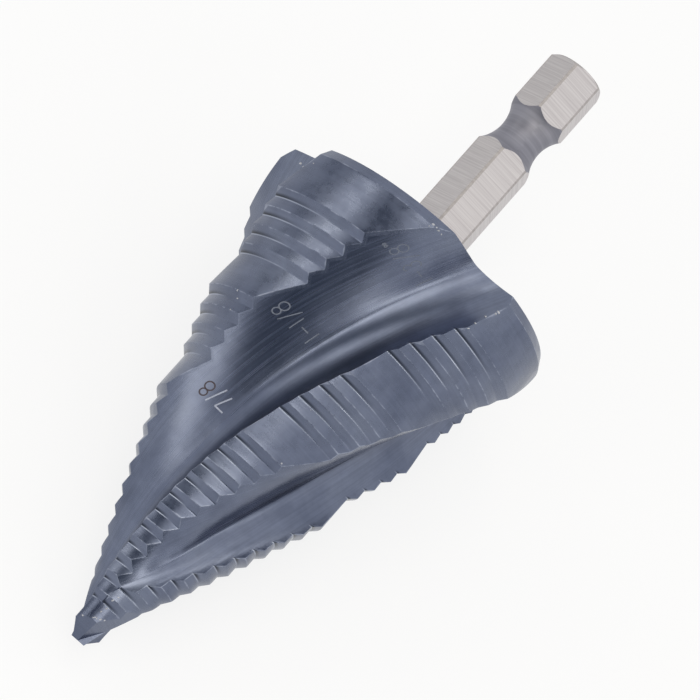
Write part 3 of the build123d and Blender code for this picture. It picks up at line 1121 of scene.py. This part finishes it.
def coated_steel():
    """The coating on the body, from the measures that ride in its mesh."""
    material, tree = new_material("coated_high_speed_steel")
    in_flute, on_face = measures_of(tree, "in_flute", "on_face")
    drift, patches, lines = coating_noises(tree, in_flute)
    land_gloss = add_node(tree, "ShaderNodeMapRange", [patches, *PATCH_SPAN, *LAND_ROUGHNESS])
    line_gloss = add_node(tree, "ShaderNodeMapRange", [lines, *NOISE_SPAN, *FLUTE_ROUGHNESS])
    flute_gloss = add_node(tree, "ShaderNodeMix", [on_face, line_gloss, FACE_ROUGHNESS])
    surface = {
        "Base Color": coating_colour(tree, in_flute, drift, patches, lines),
        "Metallic": 1.0,
        "Roughness": add_node(tree, "ShaderNodeMix", [in_flute, land_gloss, flute_gloss]),
        "Normal": add_node(tree, "ShaderNodeBump", {"Height": lines, "Distance": GRIND_DEPTH * MM}),
    }
    shader = add_node(tree, "ShaderNodeBsdfPrincipled", surface)
    add_node(tree, "ShaderNodeOutputMaterial", [shader])
    return material


body.data.materials.append(coated_steel())
print("its roughness is", LAND_ROUGHNESS, "on the lands and", FLUTE_ROUGHNESS, "in the flutes")

# %% [markdown]
# The hexagon was ground bright after coating. Its wheel ran across the bar, so fine lines cross
# each flat, and some catch more light than others. An anisotropic shader stands for lines that
# are too fine to see. These can be seen, so they are in the colour and the bump. The corners are
# as they were turned, duller and a little darker. The groove keeps a thin grey coating over turned
# steel, which is nearly matt.

# %% Ground and turned steel
FINISHES = {  # darkest and palest colour, roughness, mm between its lines; in the order of the slots
    "turned_steel_thinly_coated": ("7f7f88", "91919a", 0.52, 0.5),
    "ground_steel": ("bab5b6", "ccc8c8", 0.4, 0.16),
    "turned_steel": ("aaa5a4", "bab5b4", 0.58, 0.3),
}
SHANK_LINE_DEPTH = 0.0015  # mm


def shank_steel(name, darkest, palest, roughness, line_pitch):
    """Steel whose tool lines run round or across the bar, as a noise that changes with height."""
    material, tree = new_material(name)
    height, across = measures_of(tree, "height", "across")
    slow = add_node(tree, "ShaderNodeMath", [across, LINE_STRETCH], operation="MULTIPLY")
    way = add_node(tree, "ShaderNodeCombineXYZ", [height, slow])
    line_settings = {"Vector": way, "Scale": 1 / line_pitch, "Detail": 3.0}
    lines = add_node(tree, "ShaderNodeTexNoise", line_settings, noise_dimensions="2D")
    tints = zip(NOISE_SPAN, [linear(darkest), linear(palest)])
    surface = {
        "Base Color": add_node(tree, "ShaderNodeValToRGB", [lines], tints),
        "Metallic": 1.0,
        "Roughness": roughness,
        "Normal": add_node(tree, "ShaderNodeBump", {"Height": lines, "Distance": SHANK_LINE_DEPTH * MM}),
    }
    shader = add_node(tree, "ShaderNodeBsdfPrincipled", surface)
    add_node(tree, "ShaderNodeOutputMaterial", [shader])
    return material


for name, finish in FINISHES.items():
    shank.data.materials.append(shank_steel(name, *finish))
print("the shank's finishes are", ", ".join(FINISHES))

# %% [markdown]
# A marking laser melts the coating off in a shallow rough line: pale where it only bared the steel,
# faint where the beam hardly reached it, and brown where it burnt. Either way the line is matt, so
# it shows pale against a dark reflection and dark against a bright one. Torn steel is much the
# same, only paler, so one material serves both.

# %% Laser marks and torn steel
MARK_COLOURS = {  # in the order of the slots
    "laser_bared_steel": "b6bbcb",
    "laser_thin_line": "858b98",
    "laser_faint_line": "7b818f",
    "laser_burnt_steel": "544c52",
}
TORN_STEEL_COLOUR = "c6c8cf"
BROKEN_SHARE = 0.7  # how dark the darkest grain is, against the colour
BROKEN_GRAIN = 0.12  # mm
BROKEN_METALLIC = 0.6  # part of it is oxide
BROKEN_ROUGHNESS = 0.6


def broken_steel(name, hex_colour):
    """A rough metal whose colour is broken up by fine grains."""
    material, tree = new_material(name)
    place = add_node(tree, "ShaderNodeTexCoord").outputs["Object"]
    grains_of_colour = add_node(
        tree, "ShaderNodeTexNoise", {"Vector": place, "Scale": 1 / (BROKEN_GRAIN * MM)}
    )
    palest = linear(hex_colour)
    darkest = (*[channel * BROKEN_SHARE for channel in palest[:3]], 1.0)
    surface = {
        "Base Color": add_node(
            tree, "ShaderNodeValToRGB", [grains_of_colour], zip(NOISE_SPAN, [darkest, palest])
        ),
        "Metallic": BROKEN_METALLIC,
        "Roughness": BROKEN_ROUGHNESS,
    }
    shader = add_node(tree, "ShaderNodeBsdfPrincipled", surface)
    add_node(tree, "ShaderNodeOutputMaterial", [shader])
    return material


for name, hex_colour in MARK_COLOURS.items():
    marks.data.materials.append(broken_steel(name, hex_colour))
grains.data.materials.append(broken_steel("torn_steel", TORN_STEEL_COLOUR))
print("the marks are", ", ".join(MARK_COLOURS.values()), "and the torn steel", TORN_STEEL_COLOUR)

# %% [markdown]
# ## Floor, light and camera
# The tool lies on a plain white table in a bright room. A lit white sheet alone would shade to
# grey away from the lamps. So to the camera and in reflections the table is mostly its own even
# white, and only a share of it is lit, which keeps the soft shadow under the tool.

# %% Floor
FLOOR_SIZE = 3.0  # metres
FLOOR_EVEN_COLOUR = "ffffff"
FLOOR_LIT_COLOUR = "e6e6e6"
FLOOR_LIT_SHARE = 0.2


def white_floor():
    """A square sheet under the tool, white to the eye, with a share that takes the shadow."""
    half = FLOOR_SIZE / 2
    corners = [(-half, -half, 0), (half, -half, 0), (half, half, 0), (-half, half, 0)]
    sheet = make_piece("floor", corners, [(0, 1, 2, 3)])
    material, tree = new_material("white_table")
    lit = add_node(tree, "ShaderNodeBsdfDiffuse", {"Color": linear(FLOOR_LIT_COLOUR)})
    even = add_node(tree, "ShaderNodeEmission", {"Color": linear(FLOOR_EVEN_COLOUR)})
    shown = add_node(tree, "ShaderNodeMixShader", [FLOOR_LIT_SHARE, even, lit])
    ray = add_node(tree, "ShaderNodeLightPath").outputs
    seen = ray["Is Camera Ray"]
    for kind in ("Is Glossy Ray", "Is Transmission Ray"):
        seen = add_node(tree, "ShaderNodeMath", [seen, ray[kind]], operation="ADD", use_clamp=True)
    look = add_node(tree, "ShaderNodeMixShader", [seen, lit, shown])
    add_node(tree, "ShaderNodeOutputMaterial", [look])
    sheet.data.materials.append(material)


white_floor()
print("the floor is", FLOOR_SIZE, "m across")

# %% [markdown]
# Metal shows what stands around it, so the room matters as much as the steel. A picture of a real
# room could light it, but a few numbers are easier to change. The room is plain white, with four
# darker windows and a grey wall that give the steel something dark to show. Six softboxes, from
# wide to narrow, draw the bright streaks along the flutes and on the lands.

# %% World and lamps
ROOM = "ffffff"
ROOM_OPENING = "65707e"
OPENINGS = {  # azimuth and elevation of its middle, degrees it is full, degrees it ends at, depth
    "high_window_left": (-164.0, 35.0, 13.0, 28.0, 1.0),
    "low_window_left": (-140.0, 17.0, 6.0, 16.0, 1.0),
    "high_window_back": (115.0, 57.0, 9.0, 22.0, 1.0),
    "high_window_side": (80.0, 59.0, 6.0, 15.0, 1.0),
    "grey_wall_side": (68.0, 8.0, 12.0, 26.0, 0.56),
}
SOFTBOXES = {  # azimuth and elevation in degrees, width and height in mm, brightness against white
    "softbox_overhead": (-163.0, 69.0, 310.0, 260.0, 2.6),
    "softbox_point": (-124.0, 36.0, 80.0, 300.0, 3.0),
    "softbox_side": (84.0, 34.0, 90.0, 230.0, 2.6),
    "softbox_back": (147.0, 29.0, 250.0, 210.0, 1.5),
    "softbox_low": (-103.0, 10.0, 110.0, 130.0, 2.4),
    "softbox_zenith": (42.0, 73.0, 150.0, 150.0, 2.6),
}
SOFTBOX_COLOUR = "fff7e4"
SOFTBOX_DISTANCE = 600.0  # mm


def direction(azimuth, elevation):
    """Unit vector from its angles round the floor and above it, in degrees."""
    around, above = np.radians([azimuth, elevation])
    return Vector((np.cos(around) * np.cos(above), np.sin(around) * np.cos(above), np.sin(above)))


def softbox(name, azimuth, elevation, width, height, brightness):
    """A rectangular lamp that faces the tool; its power is brightness times pi times its area."""
    lamp = bpy.data.lights.new(name, "AREA")
    lamp.shape = "RECTANGLE"
    lamp.size = width * MM
    lamp.size_y = height * MM
    lamp.energy = brightness * np.pi * lamp.size * lamp.size_y
    lamp.color = linear(SOFTBOX_COLOUR)[:3]
    holder = bpy.data.objects.new(name, lamp)
    outward = direction(azimuth, elevation)
    holder.location = outward * SOFTBOX_DISTANCE * MM
    holder.rotation_mode = "QUATERNION"
    holder.rotation_quaternion = outward.to_track_quat("Z", "Y")
    bpy.context.scene.collection.objects.link(holder)


def pale_room():
    """A white world with round openings: each is full inside one angle and gone past another.

    Its depth says how far it goes from the room's white to the opening's colour.
    """
    world = bpy.data.worlds.new("pale_room")
    world.use_nodes = True
    tree = world.node_tree
    tree.nodes.clear()
    way = add_node(tree, "ShaderNodeTexCoord").outputs["Generated"]
    opening = 0.0
    for azimuth, elevation, full, ends, depth in OPENINGS.values():
        middle = direction(azimuth, elevation)
        facing = add_node(tree, "ShaderNodeVectorMath", [way, middle], operation="DOT_PRODUCT")
        span = {"From Min": np.cos(np.radians(ends)), "From Max": np.cos(np.radians(full)), "To Max": depth}
        part = add_node(
            tree, "ShaderNodeMapRange", {"Value": facing, **span}, interpolation_type="SMOOTHSTEP"
        )
        opening = add_node(tree, "ShaderNodeMath", [part, opening], operation="MAXIMUM")
    tints = [opening, linear(ROOM), linear(ROOM_OPENING)]
    colour = add_node(tree, "ShaderNodeMix", tints, data_type="RGBA")
    air = add_node(tree, "ShaderNodeBackground", {"Color": colour})
    add_node(tree, "ShaderNodeOutputWorld", [air])
    return world


for name, settings in SOFTBOXES.items():
    softbox(name, *settings)
bpy.context.scene.world = pale_room()
bpy.context.scene.view_settings.view_transform = "Standard"
print("lamps:", ", ".join(SOFTBOXES))

# %% [markdown]
# The camera stands high above the table at the point's end and is rolled, so that the tool points
# to the lower left corner of the frame. Its long lens keeps the tool nearly free of perspective.

# %% Camera
CAMERA_AIM = (1.225, -1.192, 14.0)  # mm
CAMERA_DISTANCE = 382.36  # mm
CAMERA_AZIMUTH = -176.046  # degrees, as are the next two
CAMERA_ELEVATION = 61.279
CAMERA_ROLL = 37.465
CAMERA_LENS = 190.2  # mm
SENSOR_WIDTH = 36.0  # mm

eye = bpy.data.objects.new("camera", bpy.data.cameras.new("camera"))
eye.data.sensor_width = SENSOR_WIDTH
eye.data.lens = CAMERA_LENS
backward = direction(CAMERA_AZIMUTH, CAMERA_ELEVATION)
eye.location = Vector(CAMERA_AIM) * MM + backward * (CAMERA_DISTANCE * MM)
eye.rotation_mode = "QUATERNION"
upright_view = (-backward).to_track_quat("-Z", "Y")
eye.rotation_quaternion = upright_view @ Quaternion((0.0, 0.0, 1.0), np.radians(CAMERA_ROLL))
bpy.context.scene.collection.objects.link(eye)
bpy.context.scene.camera = eye
print("the camera stands", round(CAMERA_DISTANCE), "mm away")

# %% [markdown]
# ## Hand over
# The real tool is one solid, and so is the CAD model, so all four pieces stand for that solid and
# move with it.

# %% Hand over
SLOTS = {body: "coated_steel", shank: "ground_steel", marks: "coated_steel", grains: "coated_steel"}
for piece, slot in SLOTS.items():
    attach(piece, "root")
    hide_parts("step_drill")

bpy.context.view_layer.update()
